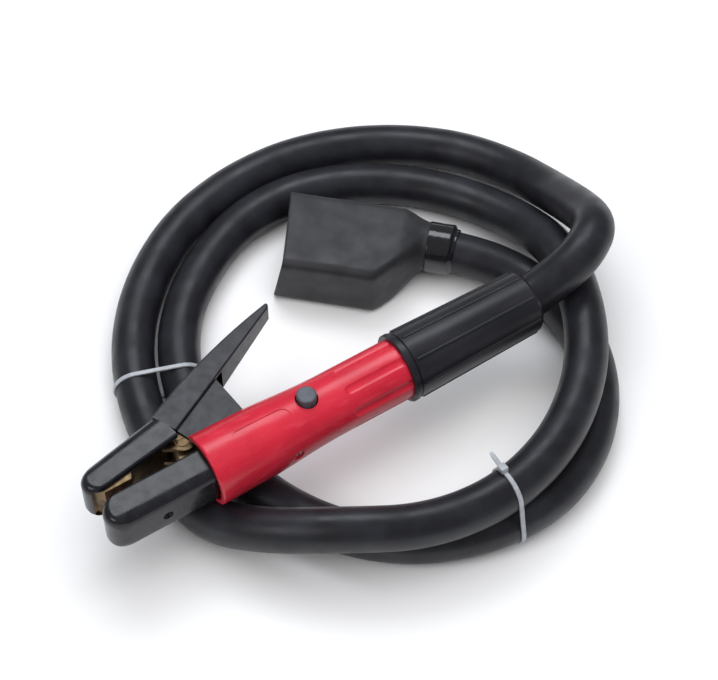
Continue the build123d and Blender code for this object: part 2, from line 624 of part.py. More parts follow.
def connector_body():
    """Brass piece: shank in the ferrule, flange with the air way, and the bar for the power cable's lug."""
    flange = extrude(Plane.YZ.offset(SOCKET_X[1]) * RegularPolygon(SOCKET_R, 6, rotation=30), 4)
    foot = Pos(SOCKET_X[1] + 2, -8, 0) * Box(4, 16, 5)
    bar = Pos(-62.5, -23, 0) * Box(21, 25, 5)
    body = bar_x(-52, -36, 7.0, y=0) + flange + foot + bar
    body -= bar_x(-57, -35, 3.0, y=0)
    return BOOT * (body - Pos(*LUG_BOLT, 0) * Cylinder(5.25, 20))


def air_socket():
    """Hexagonal brass socket with the threaded air inlet, facing the boot's mouth."""
    length = SOCKET_X[1] - SOCKET_X[0]
    hexagon = extrude(Plane.YZ.offset(SOCKET_X[0]) * RegularPolygon(SOCKET_R, 6, rotation=30), length)
    return BOOT * (hexagon - bar_x(SOCKET_X[0] - 1, SOCKET_X[1] + 1, INLET_R, y=0))


def lug_bolt():
    """M10 bolt that clamps the supply cable's lug to the bar."""
    head = Pos(*LUG_BOLT, 2.5) * extrude(RegularPolygon(8.6, 6), 5.6)
    return BOOT * (head + Pos(*LUG_BOLT, -5.0) * Cylinder(5.0, 15.0))


def lug_nut():
    nut = Pos(*LUG_BOLT, -12.2) * extrude(RegularPolygon(8.6, 6), 6.0)
    return BOOT * (nut - Pos(*LUG_BOLT, 0) * Cylinder(5.0, 60))


def lug_washer():
    return BOOT * (Pos(*LUG_BOLT, -5.6) * (Cylinder(9.0, 1.2) - Cylinder(5.2, 5)))


def main():
    save("lower_jaw_insulator", lower_jaw_insulator())
    save("lower_arm_body", lower_arm_body())
    save("lower_insulator_screw", insulator_screw(INSULATOR_SCREW_X, LOWER_OUTER_Y + SCREW_SINK, 0))
    save("swivel_head", swivel_head())
    save("head_washer", head_washer())
    save("head_screw", head_screw())
    save("upper_jaw_insulator", upper_jaw_insulator())
    save("upper_arm", upper_arm())
    x, y, _ = upper_screw_place(SCREW_SINK)
    save("upper_insulator_screw", insulator_screw(x, y, 180 + UPPER_OUTER_SLOPE))
    save("pivot_bushes", pivot_bushes())
    save("pivot_pin", pivot_pin())
    save("pivot_clip", pivot_clip())
    save("lever", lever())
    save("spring_shield", spring_shield())
    save("jaw_spring", jaw_spring())
    save("handle", handle())
    save("handle_screw", handle_screw())
    save("valve_body", valve_body())
    save("valve_guide", valve_guide())
    save("stem_seal", stem_seal())
    save("valve_button", valve_button())
    save("valve_stem", valve_stem())
    save("valve_poppet", valve_poppet())
    save("valve_spring", valve_spring())
    save("coupling_nut", coupling_nut())
    save("cable_ferrule", cable_ferrule())
    save("cable_sleeve", cable_sleeve())
    cable_lengths()
    save("tie_left", tie_left())
    save("tie_right", tie_right())
    save("boot", boot())
    save("tape_wrap", tape_wrap())
    save("connector_ferrule", connector_ferrule())
    save("connector_body", connector_body())
    save("air_socket", air_socket())
    save("lug_bolt", lug_bolt())
    save("lug_nut", lug_nut())
    save("lug_washer", lug_washer())


main()
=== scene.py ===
"""Looks of the air carbon-arc gouging torch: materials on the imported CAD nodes, and the pieces that are
built here (jaw mouldings, cable, boot, tape and ties). Metres, in the part's own frame: origin in the
electrode groove, +X along the handle."""
import json
from math import cos, exp, pi, radians, sin

import bmesh
import bpy
from mathutils import Matrix, Vector, noise


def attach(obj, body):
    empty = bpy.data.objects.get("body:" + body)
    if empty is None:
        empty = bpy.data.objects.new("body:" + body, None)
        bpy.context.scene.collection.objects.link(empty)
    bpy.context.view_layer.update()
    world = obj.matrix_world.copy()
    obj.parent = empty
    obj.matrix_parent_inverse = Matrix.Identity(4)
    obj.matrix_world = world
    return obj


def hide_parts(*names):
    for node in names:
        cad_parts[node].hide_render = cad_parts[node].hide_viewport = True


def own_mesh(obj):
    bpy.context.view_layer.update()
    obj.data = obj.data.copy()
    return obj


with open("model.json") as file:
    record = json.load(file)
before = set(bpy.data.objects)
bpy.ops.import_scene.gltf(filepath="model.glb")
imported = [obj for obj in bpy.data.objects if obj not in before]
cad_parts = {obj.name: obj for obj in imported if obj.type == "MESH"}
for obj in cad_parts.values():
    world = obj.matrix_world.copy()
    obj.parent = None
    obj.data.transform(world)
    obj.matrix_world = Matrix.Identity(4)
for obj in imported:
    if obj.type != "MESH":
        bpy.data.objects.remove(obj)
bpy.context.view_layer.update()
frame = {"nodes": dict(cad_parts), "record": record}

MM = 0.001
CABLE_R = 12.5 * MM
AXIS_Y = -8.5
CABLE_START_X = 233                             # inside the sleeve
TABLE_Z = -50 * MM
TORCH = "torch_body"

# The cable's route, in the part's millimetres: out of the sleeve, round the coil, under the torch
# and into the boot.
ROUTE = [
    (CABLE_START_X, AXIS_Y, 0), (255, AXIS_Y, 0), (271, -9, 6.5), (285.5, -10, 14.5),
    (298.5, -6.5, 18.5), (310, 1.5, 18), (317.5, 14.5, 10.5), (321.5, 35, -2), (325, 62, -18.5),
    (322.5, 98, -32.5), (303, 134, -37.4), (264, 164, -37.4), (219, 181, -37.4), (175, 183, -37.4),
    (131, 172, -37.4), (94, 148, -37.4), (65, 115, -36.5), (47, 76, -36), (39, 33, -35),
    (38, -12, -37.2), (56, -45, -20), (90, -74, -8.5), (132, -97, -10.8), (178, -103, -10.6),
    (222, -91, -10.8), (260, -64, -11.2), (286, -28, -11.4), (301, 14, -12.5), (304, 58, -31),
    (286, 101, -37.4), (253, 134, -37.4), (211, 155.3, -37.4), (167, 156.5, -37.4), (126, 138, -37.4),
    (92, 108, -36.5), (72, 68, -36), (67, 26, -35), (74, -17, -37.4), (94, -57, -37.4),
    (127, -89, -37.2), (168, -106, -35.8), (212, -107, -36.2), (252, -87, -37.4), (280, -53, -37.4),
    (291, -12, -37.4), (284, 26, -36.5), (262.5, 56, -31), (235.2, 83.3, -31),
]


# ---- materials ----
class Surface:
    """A Principled material whose colour, roughness and bump vary over the object."""

    def __init__(self, name, color, roughness, metallic=0.0, specular=0.5):
        self.material = bpy.data.materials.new(name)
        self.material.use_nodes = True
        self.tree = self.material.node_tree
        self.shader = self.tree.nodes["Principled BSDF"]
        self.shader.inputs["Base Color"].default_value = (*color, 1)
        self.shader.inputs["Roughness"].default_value = roughness
        self.shader.inputs["Metallic"].default_value = metallic
        self.shader.inputs["Specular IOR Level"].default_value = specular
        self.color = color
        self.roughness = roughness
        self.coords = self.tree.nodes.new("ShaderNodeTexCoord").outputs["Object"]
        self.normal = None

    def link(self, a, b):
        self.tree.links.new(a, b)

    def scaled(self, scale):
        mapping = self.tree.nodes.new("ShaderNodeMapping")
        mapping.inputs["Scale"].default_value = scale
        self.link(self.coords, mapping.inputs["Vector"])
        return mapping.outputs["Vector"]

    def noise(self, scale, detail=4.0, stretch=(1, 1, 1)):
        node = self.tree.nodes.new("ShaderNodeTexNoise")
        node.inputs["Scale"].default_value = scale
        node.inputs["Detail"].default_value = detail
        self.link(self.scaled(stretch), node.inputs["Vector"])
        return node.outputs["Fac"]

    def spread(self, value, low, high, out_low=0.0, out_high=1.0):
        node = self.tree.nodes.new("ShaderNodeMapRange")
        node.inputs["From Min"].default_value = low
        node.inputs["From Max"].default_value = high
        node.inputs["To Min"].default_value = out_low
        node.inputs["To Max"].default_value = out_high
        self.link(value, node.inputs["Value"])
        return node.outputs["Result"]

    def mottle(self, other, value, low=0.35, high=0.65):
        """Mixes another colour in where value is high."""
        mix = self.tree.nodes.new("ShaderNodeMix")
        mix.data_type = "RGBA"
        mix.inputs["A"].default_value = (*self.color, 1)
        source = self.shader.inputs["Base Color"]
        if source.is_linked:
            self.link(source.links[0].from_socket, mix.inputs["A"])
        mix.inputs["B"].default_value = (*other, 1)
        self.link(self.spread(value, low, high), mix.inputs["Factor"])
        self.link(mix.outputs["Result"], source)
        return self

    def rough(self, value, amount, low=0.3, high=0.7):
        self.link(self.spread(value, low, high, self.roughness - amount, self.roughness + amount),
                  self.shader.inputs["Roughness"])
        return self

    def bump(self, value, strength, distance):
        node = self.tree.nodes.new("ShaderNodeBump")
        node.inputs["Strength"].default_value = strength
        node.inputs["Distance"].default_value = distance
        self.link(value, node.inputs["Height"])
        if self.normal:
            self.link(self.normal, node.inputs["Normal"])
        self.normal = node.outputs["Normal"]
        self.link(self.normal, self.shader.inputs["Normal"])
        return self


def gloss_black():
    s = Surface("jaw_insulator", (0.008, 0.008, 0.010), 0.24, specular=0.42)
    s.mottle((0.015, 0.015, 0.019), s.noise(90, 6))
    s.rough(s.noise(160, 8), 0.07)
    s.bump(s.noise(350, 3), 0.12, 0.0004)
    s.bump(s.noise(30, 2), 0.10, 0.002)
    return s.material


def lever_black():
    s = Surface("lever_moulding", (0.011, 0.011, 0.014), 0.34, specular=0.4)
    s.mottle((0.021, 0.021, 0.026), s.noise(120, 6))
    s.rough(s.noise(220, 6), 0.06)
    s.bump(s.noise(1400, 3), 0.16, 0.0002)
    return s.material


def red_plastic():
    s = Surface("red_handle", (0.58, 0.017, 0.040), 0.30, specular=0.4)
    s.mottle((0.47, 0.012, 0.030), s.noise(45, 5), 0.4, 0.75)
    s.mottle((0.63, 0.040, 0.065), s.noise(300, 3, (0.25, 1, 1)), 0.55, 0.8)
    s.rough(s.noise(110, 6, (0.3, 1, 1)), 0.07)
    s.bump(s.noise(26, 2, (0.4, 1, 1)), 0.12, 0.002)
    s.bump(s.noise(700, 2), 0.05, 0.0003)
    s.shader.inputs["Coat Weight"].default_value = 0.15
    s.shader.inputs["Coat Roughness"].default_value = 0.18
    return s.material


def cable_rubber():
    s = Surface("cable_rubber", (0.010, 0.010, 0.013), 0.40, specular=0.42)
    s.mottle((0.020, 0.021, 0.027), s.noise(55, 8), 0.4, 0.75)
    s.mottle((0.055, 0.058, 0.068), s.noise(1100, 2), 0.70, 0.80)
    s.rough(s.noise(75, 7), 0.09)
    s.bump(s.noise(900, 4), 0.22, 0.0003)
    s.bump(s.noise(60, 3), 0.14, 0.0014)
    return s.material


def sleeve_rubber():
    s = Surface("sleeve_rubber", (0.011, 0.011, 0.014), 0.36, specular=0.42)
    s.mottle((0.021, 0.021, 0.026), s.noise(80, 6, (0.3, 1, 1)), 0.4, 0.7)
    s.rough(s.noise(140, 6, (0.25, 1, 1)), 0.07)
    s.bump(s.noise(1000, 3), 0.14, 0.0003)
    return s.material


def boot_rubber():
    s = Surface("boot_rubber", (0.022, 0.022, 0.025), 0.48, specular=0.42)
    s.mottle((0.034, 0.034, 0.038), s.noise(70, 7), 0.4, 0.7)
    s.mottle((0.10, 0.09, 0.08), s.noise(900, 2), 0.74, 0.84)
    s.rough(s.noise(90, 6), 0.08)
    s.bump(s.noise(1300, 3), 0.20, 0.0003)
    s.bump(s.noise(28, 2), 0.12, 0.002)
    return s.material


def vinyl_tape():
    s = Surface("tape", (0.010, 0.010, 0.012), 0.16)
    s.rough(s.noise(200, 5), 0.06)
    s.bump(s.noise(130, 3), 0.18, 0.0007)
    s.shader.inputs["Coat Weight"].default_value = 0.4
    s.shader.inputs["Coat Roughness"].default_value = 0.08
    return s.material


def nylon():
    s = Surface("nylon_tie", (0.32, 0.33, 0.36), 0.34)
    s.mottle((0.42, 0.44, 0.48), s.noise(220, 4))
    s.bump(s.noise(500, 2), 0.1, 0.0003)
    s.shader.inputs["Subsurface Weight"].default_value = 0.3
    s.shader.inputs["Subsurface Radius"].default_value = (0.001, 0.001, 0.001)
    s.shader.inputs["Subsurface Scale"].default_value = 1.0
    return s.material


def grey_button():
    s = Surface("button", (0.065, 0.070, 0.090), 0.42, specular=0.4)
    s.mottle((0.090, 0.097, 0.118), s.noise(260, 5))
    s.bump(s.noise(1500, 3), 0.18, 0.0002)
    return s.material


def brass():
    s = Surface("brass", (0.24, 0.165, 0.09), 0.48, metallic=1.0)
    s.mottle((0.09, 0.065, 0.045), s.noise(110, 8), 0.42, 0.67)
    s.rough(s.noise(200, 6), 0.12)
    s.bump(s.noise(420, 5), 0.25, 0.0004)
    return s.material


def copper():
    s = Surface("copper", (0.72, 0.33, 0.20), 0.34, metallic=1.0)
    s.mottle((0.36, 0.15, 0.09), s.noise(160, 7), 0.5, 0.8)
    s.rough(s.noise(300, 5), 0.1)
    s.bump(s.noise(600, 3, (1, 1, 0.2)), 0.15, 0.0003)
    return s.material


def steel(name, color, roughness):
    s = Surface(name, color, roughness, metallic=1.0)
    s.mottle(tuple(c * 0.6 for c in color), s.noise(260, 7), 0.45, 0.8)
    s.rough(s.noise(500, 4), 0.08)
    s.bump(s.noise(900, 3), 0.15, 0.0002)
    return s.material


def laminate():
    s = Surface("insulating_bush", (0.36, 0.24, 0.13), 0.5)
    s.mottle((0.24, 0.15, 0.08), s.noise(500, 4, (1, 1, 6)))
    s.bump(s.noise(500, 3, (1, 1, 6)), 0.2, 0.0003)
    return s.material


def seal_rubber():
    s = Surface("seal_rubber", (0.03, 0.03, 0.03), 0.55)
    s.bump(s.noise(900, 3), 0.2, 0.0002)
    return s.material


MATERIALS = {
    "jaw_insulator": gloss_black(), "lever_moulding": lever_black(), "red_handle": red_plastic(),
    "cable_rubber": cable_rubber(), "sleeve_rubber": sleeve_rubber(), "boot_rubber": boot_rubber(),
    "tape": vinyl_tape(), "nylon_tie": nylon(), "button": grey_button(), "brass": brass(),
    "copper": copper(), "insulating_bush": laminate(), "seal_rubber": seal_rubber(),
    "steel_screw": steel("steel_screw", (0.52, 0.52, 0.55), 0.32),
    "spring_steel": steel("spring_steel", (0.42, 0.42, 0.45), 0.25),
    # black_screw: the screw is black, and its colour is darkened further to near-black as painted shade, so
    # the screw reads as the dark hole it sits in
    "black_screw": steel("black_screw", (0.012, 0.012, 0.014), 0.6),
}


def dress_nodes():
    """Gives each CAD node the finish of its material slot."""
    slots = {part["node"]: part["material_slot"] for part in frame["record"]["subparts"]}
    for name, node in frame["nodes"].items():
        node.data.materials.clear()
        node.data.materials.append(MATERIALS[slots[name]])


# ---- mesh helpers ----
def new_piece(name, mesh, slot, smooth=True, body=TORCH):
    """A piece on one of the torch's bodies with its material slot and finish."""
    piece = bpy.data.objects.new(name, mesh)
    bpy.context.collection.objects.link(piece)
    mesh.materials.clear()
    mesh.materials.append(MATERIALS[slot])
    if smooth:
        mesh.polygons.foreach_set("use_smooth", [True] * len(mesh.polygons))
    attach(piece, body)
    return piece


def rings_mesh(name, rings, closed_rings=False):
    """A skin over rings of points. Rings are joined in order, and the last to the first if closed_rings."""
    mesh = bpy.data.meshes.new(name)
    count = len(rings[0])
    points = [p for ring in rings for p in ring]
    faces = []
    steps = len(rings) if closed_rings else len(rings) - 1
    for i in range(steps):
        a, b = i * count, (i + 1) % len(rings) * count
        for j in range(count):
            k = (j + 1) % count
            faces.append((a + j, a + k, b + k, b + j))
    if not closed_rings:
        faces.append(tuple(range(count)))
        faces.append(tuple(len(points) - 1 - i for i in range(count)))
    mesh.from_pydata(points, [], faces)
    work = bmesh.new()
    work.from_mesh(mesh)
    bmesh.ops.recalc_face_normals(work, faces=work.faces)
    work.to_mesh(mesh)
    work.free()
    return mesh


def smooth_step(x, low, high):
    t = min(max((x - low) / (high - low), 0.0), 1.0)
    return t * t * (3 - 2 * t)


def soft_max(a, b, width):
    """The larger of two numbers, with a rounded changeover."""
    m = max(a, b)
    return m + width * exp(-abs(a - b) / width) * 0.5


# ---- jaw insulators ----
JAW_HALF = 14.0                                 # half height of the mouldings, in millimetres
NOSE_CORNER, BACK_EDGE, LIP_EDGE = 5.0, 6.5, 1.2
JAW_STEPS = (0, 0.02, 0.05, 0.1, 0.17, 0.25, 0.34, 0.43, 0.52,
             0.61, 0.69, 0.76, 0.82, 0.88, 0.925, 0.96, 0.985, 0.997)
REAR_CURVE = 1.8                                # how late the rear end bends away, towards the outer line
CORE_HALF = 11.4                                # half height of the room for the arm
SCREW_X, SCREW_R = 16.0, 3.0
CREASE = radians(35)                            # edges sharper than this stay crisp


def quarter(depth, edge):
    """How far a round edge stands back, this deep into its rounding."""
    return edge * (1 - (1 - min(max(1 - depth / edge, 0.0), 1.0) ** 2) ** 0.5)


class Jaw:
    """Outside of an insulator between an inner and an outer line in plan, each a point and a slope."""

    def __init__(self, nose, inner, outer, rear):
        self.nose, self.inner, self.outer, self.rear = nose, inner, outer, rear

    def edge_y(self, line, x):
        return line[1] + (x - line[0]) * line[2]

    def ring(self, t):
        """Points round the jaw, this far from its inner line (t 0) to its outer line (t 1)."""
        centre, radius = self.nose
        thick = abs(self.edge_y(self.outer, centre) - self.edge_y(self.inner, centre))
        half = JAW_HALF - quarter(t * thick, LIP_EDGE) - quarter((1 - t) * thick, BACK_EDGE)
        front = centre - radius * (1 - (2 * t - 1) ** 2) ** 0.5
        rear = self.rear[0] + (self.rear[1] - self.rear[0]) * t ** REAR_CURVE
        turn = [pi / 2 * i / 12 for i in range(13)]
        step = (rear - front - NOSE_CORNER) / 12
        top = [(rear - step * i, half) for i in range(12)]
        top += [(front + NOSE_CORNER * (1 - sin(a)), half - NOSE_CORNER * (1 - cos(a))) for a in turn]
        middle = [(front, (half - NOSE_CORNER) * (1 - i / 3)) for i in range(1, 6)]
        loop = top + middle + [(x, -z) for x, z in reversed(top)]
        loop += [(rear, -half * (1 - i / 3)) for i in range(1, 6)]
        points = []
        for x, z in loop:
            a, b = self.edge_y(self.inner, x), self.edge_y(self.outer, x)
            points.append(Vector((x, a + (b - a) * t, z)) * MM)
        return points


LOWER_JAW = Jaw((-6.0, 9.9), (0, -2.2, 0), (0, -22.0, 0), (46.0, 46.0))
LOWER_ROOM = [(-14.2, 10), (-14.2, -13), (-13.7, -15.5), (-12.3, -17.6), (-10.2, -19.0), (-7.7, -19.5),
              (60, -19.5), (60, 10)]
UPPER_SLOPES = 0.1584, 0.2126
UPPER_JAW = Jaw((-8.4, 8.5), (-7.07, 3.60, UPPER_SLOPES[0]), (-10.17, 20.31, UPPER_SLOPES[1]),
                (41.5, 34.5))
UPPER_ROOM = [(-14.4, -30), (-14.4, 13.5), (-12.6, 16.3), (-9.65, 17.87), (60, 32.68), (60, -30)]


def carved(mesh, *cutters):
    """The mesh less the cutters."""
    solid = bpy.data.objects.new("solid", mesh)
    bpy.context.collection.objects.link(solid)
    tools = []
    for cutter in cutters:
        tool = bpy.data.objects.new("tool", cutter)
        bpy.context.collection.objects.link(tool)
        cut = solid.modifiers.new("cut", "BOOLEAN")
        cut.operation = "DIFFERENCE"
        cut.solver = "EXACT"
        cut.object = tool
        tools.append(tool)
    bpy.context.view_layer.update()
    result = bpy.data.meshes.new_from_object(solid.evaluated_get(bpy.context.evaluated_depsgraph_get()))
    for scrap in [solid, *tools]:
        data = scrap.data
        bpy.data.objects.remove(scrap)
        bpy.data.meshes.remove(data)
    return result


def room_mesh(outline):
    rings = [[Vector((x, y, z)) * MM for x, y in outline] for z in (-CORE_HALF, CORE_HALF)]
    return rings_mesh("room", rings)


def screw_hole_mesh(jaw):
    """Round bar through the jaw's outer wall, square to it."""
    middle = Vector((SCREW_X, jaw.edge_y(jaw.outer, SCREW_X), 0))
    axis = Vector((-jaw.outer[2], 1, 0)).normalized()
    side = Vector((axis.y, -axis.x, 0))
    rings = []
    turn = [2 * pi * i / 40 for i in range(40)]
    for reach in (-5, 5):
        end = middle + axis * reach
        rings.append([(end + (side * cos(a) + Vector((0, 0, sin(a)))) * SCREW_R) * MM for a in turn])
    return rings_mesh("screw_hole", rings)


def make_jaw(name, node, jaw, room, body):
    """Glossy moulding over one arm, rounded at the nose and back, with a crisp inner lip."""
    solid = rings_mesh(name, [jaw.ring(t) for t in JAW_STEPS])
    mesh = carved(solid, room_mesh(room), screw_hole_mesh(jaw))
    mesh.name = name
    piece = new_piece(name, mesh, "jaw_insulator", body=body)
    mesh.set_sharp_from_angle(angle=CREASE)
    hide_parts(node)
    return piece


# ---- cable ----
def make_cable():
    curve = bpy.data.curves.new("cable", "CURVE")
    curve.dimensions = "3D"
    spline = curve.splines.new("NURBS")
    spline.points.add(len(ROUTE) - 1)
    for point, (x, y, z) in zip(spline.points, ROUTE):
        point.co = (x * MM, y * MM, z * MM, 1)
    spline.order_u = 3
    spline.use_endpoint_u = True
    spline.resolution_u = 12
    curve.bevel_depth = CABLE_R
    curve.bevel_resolution = 12
    curve.use_fill_caps = True
    piece = bpy.data.objects.new("cable", curve)
    bpy.context.collection.objects.link(piece)
    curve.materials.append(MATERIALS["cable_rubber"])
    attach(piece, TORCH)
    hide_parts(*[f"cable_{i}" for i in range(1, 10)])
    return piece


def cable_line(cable):
    """Points along the middle of the cable, read from its spline."""
    bare = cable.copy()
    bare.data = cable.data.copy()
    bare.data.bevel_depth = 0
    bare.data.use_fill_caps = False
    bpy.context.collection.objects.link(bare)
    bpy.context.view_layer.update()
    mesh = bpy.data.meshes.new_from_object(bare.evaluated_get(bpy.context.evaluated_depsgraph_get()))
    points = [v.co.copy() for v in mesh.vertices]
    bpy.data.objects.remove(bare)
    bpy.data.meshes.remove(mesh)
    return points


def nearest(line, x, y, z):
    """Point of the line nearest to a place in millimetres, and the line's direction there."""
    place = Vector((x, y, z)) * MM
    i = min(range(1, len(line) - 1), key=lambda k: (line[k] - place).length)
    return line[i], (line[i + 1] - line[i - 1]).normalized()


# ---- boot over the connector ----
BOOT_NECK = Vector((255, 63.5, -31)) * MM
BOOT_OUT = Vector((1, -1, 0)).normalized()      # along the neck, away from the mouth
BOOT_FAR = Vector((1, 1, 0)).normalized()
MOUTH_X, SLANT = -99.5, 7.5
TOP_SKEW = 8.5                                  # the mouth's top edge runs out by this, near to far side
MOUTH_NEAR_Y, MOUTH_FAR_Y = -45.0, 11.5
NEAR_SLOPE, CORNER_SLOPE = 2.0 / 61.0, 28.4 / 22.5
BOOT_HALF = 18.9
NECK_R = 14.6
WALL = 2.4
CORNER_STEPS, FLAT_STEPS = 9, 9
INSIDE_STEPS = (-19, -22, -26, -30, -34, -38, -43, -50, -60, -70, -80, -90, MOUTH_X + 2)
# Round lip of the mouth, from inside to outside: how far in from the mouth, and how deep in the wall.
MOUTH_LIP = ((0.5, WALL - 0.5), (0, WALL / 2 + 0.4), (0, WALL / 2 - 0.4), (0.3, 0.35))


def boot_point(x, y, z):
    """From the boot's own millimetres: x along the neck, y to the far side, z up from its middle."""
    return BOOT_NECK + (BOOT_OUT * x + BOOT_FAR * y + Vector((0, 0, 1)) * z) * MM


def boot_section(x, inset):
    """The boot's rounded rectangle at x: near side, far side, half height and corner radius."""
    along = smooth_step(x, -31, -14)
    near_wall = MOUTH_NEAR_Y + (x - MOUTH_X) * NEAR_SLOPE
    diagonal = -NECK_R + (x + 15.5) * CORNER_SLOPE
    near = soft_max(near_wall, min(diagonal, -NECK_R), 1.6)
    near = near if x < -13 else -NECK_R
    far = MOUTH_FAR_Y + 2.0 * smooth_step(x, MOUTH_X, -30) + 1.1 * smooth_step(x, -26, -14)
    half = BOOT_HALF + (NECK_R - BOOT_HALF) * along
    radius = 6.0 + (NECK_R - 6.0) * along
    return near + inset, far - inset, half - inset, max(radius - inset, 1.5)


def boot_ring(x, inset):
    near, far, half, radius = boot_section(x, inset)
    radius = min(radius, (far - near) / 2, half)
    centres = [(far - radius, half - radius), (near + radius, half - radius),
               (near + radius, -half + radius), (far - radius, -half + radius)]
    outline = []
    for quarter, (cy, cz) in enumerate(centres):
        for i in range(CORNER_STEPS):
            t = (quarter + i / (CORNER_STEPS - 1)) * pi / 2
            outline.append((cy + radius * cos(t), cz + radius * sin(t)))
        ny, nz = centres[(quarter + 1) % 4]
        t = (quarter + 1) * pi / 2
        a = (cy + radius * cos(t), cz + radius * sin(t))
        b = (ny + radius * cos(t), nz + radius * sin(t))
        for i in range(1, FLAT_STEPS):
            u = i / FLAT_STEPS
            outline.append((a[0] + (b[0] - a[0]) * u, a[1] + (b[1] - a[1]) * u))
    ring = []
    for y, z in outline:
        fade = 1 - smooth_step(x, MOUTH_X, -60)
        sag = -0.9 * fade * cos((y + 17) / 30 * pi / 2) * smooth_step(z, -5, half)
        skew = TOP_SKEW * (y - MOUTH_NEAR_Y) / (MOUTH_FAR_Y - MOUTH_NEAR_Y)
        shift = (z + BOOT_HALF) / (2 * BOOT_HALF) * (SLANT - skew) * fade
        ring.append(boot_point(x + shift, y, z + sag))
    return ring


def make_boot():
    """Rubber boot: a flat open mouth, a slanted near corner and a round neck over the cable."""
    outside = [MOUTH_X + 0.9, MOUTH_X + 1.6, MOUTH_X + 3]
    outside += [MOUTH_X + 3 + 4 * i for i in range(1, 14)]
    outside += [-43 + 1.5 * i for i in range(0, 20)]
    outside += [-12, -8, -4, -1.2, -0.4]
    rings = [boot_ring(x, 0) for x in outside]
    rings.append(boot_ring(0, 0.5))
    inside = [0, -4, -10, -15]
    rings += [boot_ring(x, NECK_R - CABLE_R / MM - 0.15) for x in inside]
    rings += [boot_ring(x, WALL) for x in INSIDE_STEPS]
    rings += [boot_ring(MOUTH_X + x, inset) for x, inset in MOUTH_LIP]
    mesh = rings_mesh("boot_shell", rings, closed_rings=True)
    piece = new_piece("boot_shell", mesh, "boot_rubber")
    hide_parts("boot")
    return piece


# ---- tape round the boot's neck ----
TAPE_TURNS = 2.35
TAPE_FROM, TAPE_TO = -13.6, 2.4


def make_tape():
    """Two and a bit turns of vinyl tape, with slanting edges and lifted ends."""
    around, across = 220, 26
    thick = 0.18
    sheet = {}
    for side in (0, 1):
        for i in range(around + 1):
            t = i / around * TAPE_TURNS
            angle = radians(250) + t * 2 * pi
            for j in range(across + 1):
                x = TAPE_FROM + (TAPE_TO - TAPE_FROM) * j / across + 0.9 * sin(t * 4.1) - 0.7 * (t - 1)
                base = NECK_R + 0.12 + (CABLE_R / MM - NECK_R + 0.25) * smooth_step(x, -0.3, 1.6)
                crease = 0.10 * noise.noise(Vector((x * 0.35, t * 9, 3.0)))
                end = smooth_step(t, TAPE_TURNS - 0.10, TAPE_TURNS) + smooth_step(-t, -0.05, 0)
                corner = 0.5 + 0.9 * (j / across)
                r = base + t * 0.22 + crease + 0.9 * end * corner * (1 if t > 1 else 0.0) + side * thick
                sheet[side, i, j] = boot_point(x, r * cos(angle), r * sin(angle))
    rows = []
    for i in range(around + 1):
        under = [sheet[0, i, j] for j in range(across + 1)]
        rows.append(under + [sheet[1, i, j] for j in reversed(range(across + 1))])
    piece = new_piece("tape_turns", rings_mesh("tape_turns", rows), "tape")
    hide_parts("tape_wrap")
    return piece


# ---- cable ties ----
TIE_HALF_WIDTH = 1.3
TIE_THICK = 1.05


def tie_outline(span, r, steps=16):
    """Slot-shaped loop round two cables, in the tie's plane, with its outward directions."""
    loop = []
    for side in (1, -1):
        for i in range(steps + 1):
            t = radians(-90 + 180 * i / steps) + (0 if side > 0 else pi)
            loop.append((side * span / 2 + r * cos(t), r * sin(t), cos(t), sin(t)))
        for i in range(1, 6):
            u = i / 6
            loop.append((side * span / 2 * (1 - 2 * u), side * r, 0.0, float(side)))
    return loop


def box_mesh(name, place, size, bevel):
    """Rounded block; place maps a local point to the row frame."""
    work = bmesh.new()
    bmesh.ops.create_cube(work, size=1.0)
    for v in work.verts:
        v.co = Vector((v.co.x * size[0], v.co.y * size[1], v.co.z * size[2]))
    bmesh.ops.bevel(work, geom=list(work.edges), offset=bevel, segments=3, profile=0.6, affect="EDGES")
    for v in work.verts:
        v.co = place(v.co)
    mesh = bpy.data.meshes.new(name)
    work.to_mesh(mesh)
    work.free()
    return mesh


def make_tie(name, node, first, second, head_at, tail):
    """A nylon tie round two cables: strap with rounded edges, locking head and tail."""
    (a, ta), (b, tb) = first, second
    tb = tb if ta.dot(tb) > 0 else -tb
    normal = (ta + tb).normalized()
    normal = normal if normal.x > 0 else -normal
    across = b - a
    across = (across - normal * across.dot(normal)).normalized()
    up = normal.cross(across)
    middle = (a + b) / 2
    span = (b - a).length / MM
    r = CABLE_R / MM + 0.1

    def place(p):
        return middle + (across * p[0] + up * p[1] + normal * p[2]) * MM

    half, soft = TIE_HALF_WIDTH, 0.25
    profile = [(0, -half), (0, half), (TIE_THICK - soft, half), (TIE_THICK, half - soft),
               (TIE_THICK, -half + soft), (TIE_THICK - soft, -half)]
    rings = []
    for x, y, nx, ny in tie_outline(span, r):
        rings.append([place((x + nx * d, y + ny * d, w)) for d, w in profile])
    strap = new_piece(name, rings_mesh(name, rings, closed_rings=True), "nylon_tie", smooth=False)
    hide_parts(node)
    hx, hy = head_at(span, r)
    head = new_piece(name + "_head", box_mesh(name + "_head", lambda p: place((hx + p.x, hy + p.y, p.z)),
                                              (3.6, 5.0, 4.4), 0.6), "nylon_tie")
    rows = []
    for i in range(19):
        x, y, nx, ny = tail(span, r, i / 18)
        width = half * (1 - 0.35 * smooth_step(i / 18, 0.75, 1.0))
        rows.append([place((x + nx * d, y + ny * d, w)) for d, w in
                     ((0, -width), (0, width), (0.9, width), (0.9, -width))])
    end = new_piece(name + "_tail", rings_mesh(name + "_tail", rows), "nylon_tie", smooth=False)
    return [strap, head, end]


